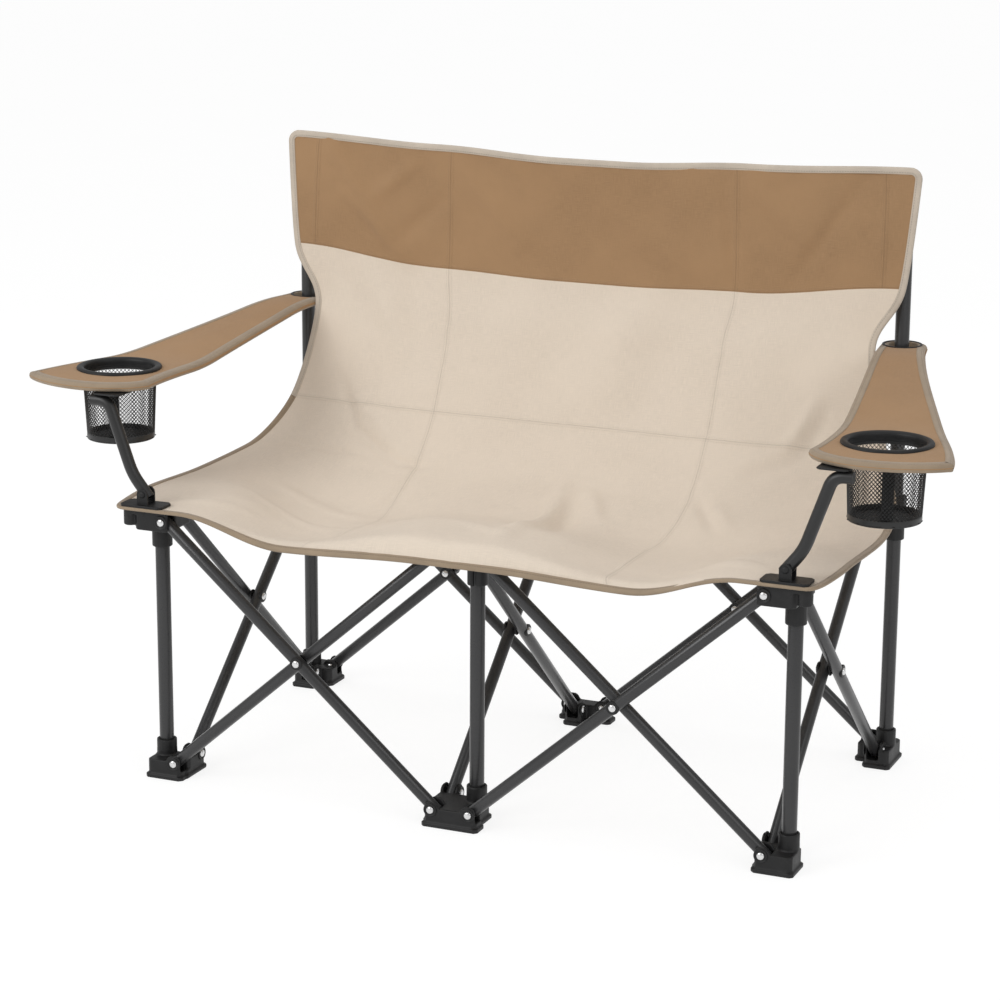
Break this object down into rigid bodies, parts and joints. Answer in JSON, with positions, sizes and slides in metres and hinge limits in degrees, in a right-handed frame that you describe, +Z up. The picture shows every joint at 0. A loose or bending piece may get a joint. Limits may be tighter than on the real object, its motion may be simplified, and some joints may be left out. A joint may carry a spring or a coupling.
{
  "type": "folding camping loveseat",
  "caption": "Wide folding camp seat with a canvas sling on a scissor frame of steel tubes, padded armrests with mesh cup holders and moulded feet.",
  "frame": {"origin": "on the ground under the middle of the open seat", "axes": "+X to the right as seen from the front, +Y to the back, +Z up"},
  "size_m": [1.432, 0.5996, 0.9261],
  "materials": {
    "steel": "satin charcoal powder coat",
    "moulded": "fine matt texture",
    "rivet": "plain bright steel",
    "canvas": "cream woven canvas with a brown band",
    "brown_canvas": "brown woven canvas over thin padding",
    "mesh": "open black mesh"
  },
  "bodies": {
    "rear_centre": {"rear_centre_foot": "moulded", "back_panel": "canvas"},
    "centre_tube_from_rear": {"centre_tube_from_rear": "steel", "centre_rivet": "rivet"},
    "centre_tube_from_front": {"centre_tube_from_front": "steel"},
    "front_centre_foot": {"front_centre_foot": "moulded", "front_centre_post": "steel"},
    "rear_centre_hub": {"rear_centre_hub": "moulded"},
    "front_centre_connector": {"front_centre_connector": "moulded"},
    "rear_left_tube_from_centre": {"rear_left_tube_from_centre": "steel", "rear_left_rivet": "rivet"},
    "rear_left_tube_from_corner": {"rear_left_tube_from_corner": "steel"},
    "rear_left_foot": {"rear_left_foot": "moulded", "rear_left_post": "steel"},
    "rear_left_slider": {"rear_left_slider": "moulded"},
    "side_left_tube_from_rear": {"side_left_tube_from_rear": "steel", "side_left_rivet": "rivet"},
    "side_left_tube_from_front": {"side_left_tube_from_front": "steel"},
    "front_left_tube_from_centre": {"front_left_tube_from_centre": "steel", "front_left_rivet": "rivet"},
    "front_left_tube_from_corner": {"front_left_tube_from_corner": "steel"},
    "front_left_foot": {"front_left_foot": "moulded", "front_left_post": "steel"},
    "left_arm": {"front_left_connector": "moulded", "left_corner_plate": "moulded", "left_arm_support": "steel", "left_armrest_bracket": "steel", "left_armrest_pad": "brown_canvas", "left_cup_ring": "moulded", "left_cup_basket": "mesh"},
    "left_eyelet": {"left_armrest_eyelet": "moulded"},
    "rear_right_tube_from_centre": {"rear_right_tube_from_centre": "steel", "rear_right_rivet": "rivet"},
    "rear_right_tube_from_corner": {"rear_right_tube_from_corner": "steel"},
    "rear_right_foot": {"rear_right_foot": "moulded", "rear_right_post": "steel"},
    "rear_right_slider": {"rear_right_slider": "moulded"},
    "side_right_tube_from_rear": {"side_right_tube_from_rear": "steel", "side_right_rivet": "rivet"},
    "side_right_tube_from_front": {"side_right_tube_from_front": "steel"},
    "front_right_tube_from_centre": {"front_right_tube_from_centre": "steel", "front_right_rivet": "rivet"},
    "front_right_tube_from_corner": {"front_right_tube_from_corner": "steel"},
    "front_right_foot": {"front_right_foot": "moulded", "front_right_post": "steel"},
    "right_arm": {"front_right_connector": "moulded", "right_corner_plate": "moulded", "right_arm_support": "steel", "right_armrest_bracket": "steel", "right_armrest_pad": "brown_canvas", "right_cup_ring": "moulded", "right_cup_basket": "mesh"},
    "right_eyelet": {"right_armrest_eyelet": "moulded"},
    "seat_rear": {"seat_rear_panel": "canvas"},
    "seat_front": {"seat_front_panel": "canvas"}
  },
  "joints": [
    {"name": "fold", "type": "hinge", "parent": "rear_centre", "child": "centre_tube_from_rear", "pos_m": [-0.011, 0.23425, 0.026], "axis": [-1, 0, 0], "range_deg": [0, 45], "deforming": ["back_panel", "seat_rear_panel", "seat_front_panel", "left_armrest_pad", "right_armrest_pad"]},
    {"name": "centre_cross", "type": "hinge", "parent": "centre_tube_from_rear", "child": "centre_tube_from_front", "pos_m": [-0.0215, 0.01425, 0.219], "axis": [1, 0, 0], "range_deg": [0, 90.01]},
    {"name": "front_centre_foot_pivot", "type": "hinge", "parent": "centre_tube_from_front", "child": "front_centre_foot", "pos_m": [-0.032, -0.20575, 0.026], "axis": [-1, 0, 0], "range_deg": [0, 45.01]},
    {"name": "rear_centre_hub_pivot", "type": "hinge", "parent": "centre_tube_from_front", "child": "rear_centre_hub", "pos_m": [-0.032, 0.23425, 0.412], "axis": [-1, 0, 0], "range_deg": [0, 45.01]},
    {"name": "front_centre_connector_pivot", "type": "hinge", "parent": "centre_tube_from_rear", "child": "front_centre_connector", "pos_m": [-0.011, -0.20575, 0.412], "axis": [1, 0, 0], "range_deg": [0, 45.01]},
    {"name": "rear_left_centre_pivot", "type": "hinge", "parent": "rear_centre", "child": "rear_left_tube_from_centre", "pos_m": [-0.03, 0.26225, 0.026], "axis": [0, 1, 0], "range_deg": [0, 45.01]},
    {"name": "rear_left_cross", "type": "hinge", "parent": "rear_left_tube_from_centre", "child": "rear_left_tube_from_corner", "pos_m": [-0.25, 0.27275, 0.219], "axis": [0, -1, 0], "range_deg": [0, 90.01]},
    {"name": "rear_left_foot_pivot", "type": "hinge", "parent": "rear_left_tube_from_corner", "child": "rear_left_foot", "pos_m": [-0.47, 0.28325, 0.026], "axis": [0, 1, 0], "range_deg": [0, 45.01]},
    {"name": "rear_left_slider_pivot", "type": "hinge", "parent": "rear_left_tube_from_centre", "child": "rear_left_slider", "pos_m": [-0.47, 0.26225, 0.412], "axis": [0, -1, 0], "range_deg": [0, 45.01]},
    {"name": "side_left_rear_pivot", "type": "hinge", "parent": "rear_left_foot", "child": "side_left_tube_from_rear", "pos_m": [-0.49, 0.23425, 0.026], "axis": [-1, 0, 0], "range_deg": [0, 45.01]},
    {"name": "side_left_cross", "type": "hinge", "parent": "side_left_tube_from_rear", "child": "side_left_tube_from_front", "pos_m": [-0.4795, 0.01425, 0.219], "axis": [1, 0, 0], "range_deg": [0, 90.01]},
    {"name": "front_left_centre_pivot", "type": "hinge", "parent": "front_centre_foot", "child": "front_left_tube_from_centre", "pos_m": [-0.03, -0.27675, 0.026], "axis": [0, 1, 0], "range_deg": [0, 45.01]},
    {"name": "front_left_cross", "type": "hinge", "parent": "front_left_tube_from_centre", "child": "front_left_tube_from_corner", "pos_m": [-0.25, -0.26625, 0.219], "axis": [0, -1, 0], "range_deg": [0, 90.01]},
    {"name": "front_left_foot_pivot", "type": "hinge", "parent": "front_left_tube_from_corner", "child": "front_left_foot", "pos_m": [-0.47, -0.25575, 0.026], "axis": [0, 1, 0], "range_deg": [0, 45.01]},
    {"name": "front_left_connector_pivot", "type": "hinge", "parent": "front_left_tube_from_centre", "child": "left_arm", "pos_m": [-0.47, -0.27675, 0.412], "axis": [0, -1, 0], "range_deg": [0, 45.01]},
    {"name": "left_eyelet_slide", "type": "slide", "parent": "left_arm", "child": "left_eyelet", "axis": [0, -0.8974, -0.4413], "range_m": [0, 0.43788]},
    {"name": "rear_right_centre_pivot", "type": "hinge", "parent": "rear_centre", "child": "rear_right_tube_from_centre", "pos_m": [0.03, 0.26225, 0.026], "axis": [0, -1, 0], "range_deg": [0, 45.01]},
    {"name": "rear_right_cross", "type": "hinge", "parent": "rear_right_tube_from_centre", "child": "rear_right_tube_from_corner", "pos_m": [0.25, 0.27275, 0.219], "axis": [0, 1, 0], "range_deg": [0, 90.01]},
    {"name": "rear_right_foot_pivot", "type": "hinge", "parent": "rear_right_tube_from_corner", "child": "rear_right_foot", "pos_m": [0.47, 0.28325, 0.026], "axis": [0, -1, 0], "range_deg": [0, 45.01]},
    {"name": "rear_right_slider_pivot", "type": "hinge", "parent": "rear_right_tube_from_centre", "child": "rear_right_slider", "pos_m": [0.47, 0.26225, 0.412], "axis": [0, 1, 0], "range_deg": [0, 45.01]},
    {"name": "side_right_rear_pivot", "type": "hinge", "parent": "rear_right_foot", "child": "side_right_tube_from_rear", "pos_m": [0.49, 0.23425, 0.026], "axis": [-1, 0, 0], "range_deg": [0, 45.01]},
    {"name": "side_right_cross", "type": "hinge", "parent": "side_right_tube_from_rear", "child": "side_right_tube_from_front", "pos_m": [0.4795, 0.01425, 0.219], "axis": [1, 0, 0], "range_deg": [0, 90.01]},
    {"name": "front_right_centre_pivot", "type": "hinge", "parent": "front_centre_foot", "child": "front_right_tube_from_centre", "pos_m": [0.03, -0.27675, 0.026], "axis": [0, -1, 0], "range_deg": [0, 45.01]},
    {"name": "front_right_cross", "type": "hinge", "parent": "front_right_tube_from_centre", "child": "front_right_tube_from_corner", "pos_m": [0.25, -0.26625, 0.219], "axis": [0, 1, 0], "range_deg": [0, 90.01]},
    {"name": "front_right_foot_pivot", "type": "hinge", "parent": "front_right_tube_from_corner", "child": "front_right_foot", "pos_m": [0.47, -0.25575, 0.026], "axis": [0, -1, 0], "range_deg": [0, 45.01]},
    {"name": "front_right_connector_pivot", "type": "hinge", "parent": "front_right_tube_from_centre", "child": "right_arm", "pos_m": [0.47, -0.27675, 0.412], "axis": [0, 1, 0], "range_deg": [0, 45.01]},
    {"name": "right_eyelet_slide", "type": "slide", "parent": "right_arm", "child": "right_eyelet", "axis": [0, -0.8974, -0.4413], "range_m": [0, 0.43788]},
    {"name": "seat_rear_fold", "type": "hinge", "parent": "rear_centre", "child": "seat_rear", "pos_m": [0, 0.17625, 0.51], "axis": [1, 0, 0], "range_deg": [0, 25.78]},
    {"name": "seat_front_fold", "type": "hinge", "parent": "front_centre_connector", "child": "seat_front", "pos_m": [0, -0.27975, 0.4308], "axis": [1, 0, 0], "range_deg": [-97.58, 0]}
  ],
  "couplings": [
    {"joint": "centre_cross", "follows": "fold", "ratio": 2},
    {"joint": "front_centre_foot_pivot", "follows": "fold", "ratio": 1},
    {"joint": "rear_centre_hub_pivot", "follows": "fold", "ratio": 1},
    {"joint": "front_centre_connector_pivot", "follows": "fold", "ratio": 1},
    {"joint": "rear_left_centre_pivot", "follows": "fold", "ratio": 1},
    {"joint": "rear_left_cross", "follows": "fold", "ratio": 2},
    {"joint": "rear_left_foot_pivot", "follows": "fold", "ratio": 1},
    {"joint": "rear_left_slider_pivot", "follows": "fold", "ratio": 1},
    {"joint": "side_left_rear_pivot", "follows": "fold", "ratio": 1},
    {"joint": "side_left_cross", "follows": "fold", "ratio": 2},
    {"joint": "front_left_centre_pivot", "follows": "fold", "ratio": 1},
    {"joint": "front_left_cross", "follows": "fold", "ratio": 2},
    {"joint": "front_left_foot_pivot", "follows": "fold", "ratio": 1},
    {"joint": "front_left_connector_pivot", "follows": "fold", "ratio": 1},
    {"joint": "left_eyelet_slide", "follows": "fold", "m_per_rad": 0.5569},
    {"joint": "rear_right_centre_pivot", "follows": "fold", "ratio": 1},
    {"joint": "rear_right_cross", "follows": "fold", "ratio": 2},
    {"joint": "rear_right_foot_pivot", "follows": "fold", "ratio": 1},
    {"joint": "rear_right_slider_pivot", "follows": "fold", "ratio": 1},
    {"joint": "side_right_rear_pivot", "follows": "fold", "ratio": 1},
    {"joint": "side_right_cross", "follows": "fold", "ratio": 2},
    {"joint": "front_right_centre_pivot", "follows": "fold", "ratio": 1},
    {"joint": "front_right_cross", "follows": "fold", "ratio": 2},
    {"joint": "front_right_foot_pivot", "follows": "fold", "ratio": 1},
    {"joint": "front_right_connector_pivot", "follows": "fold", "ratio": 1},
    {"joint": "right_eyelet_slide", "follows": "fold", "m_per_rad": 0.5569},
    {"joint": "seat_rear_fold", "follows": "fold", "ratio": 0.57266},
    {"joint": "seat_front_fold", "follows": "fold", "ratio": -2.1682}
  ]
}
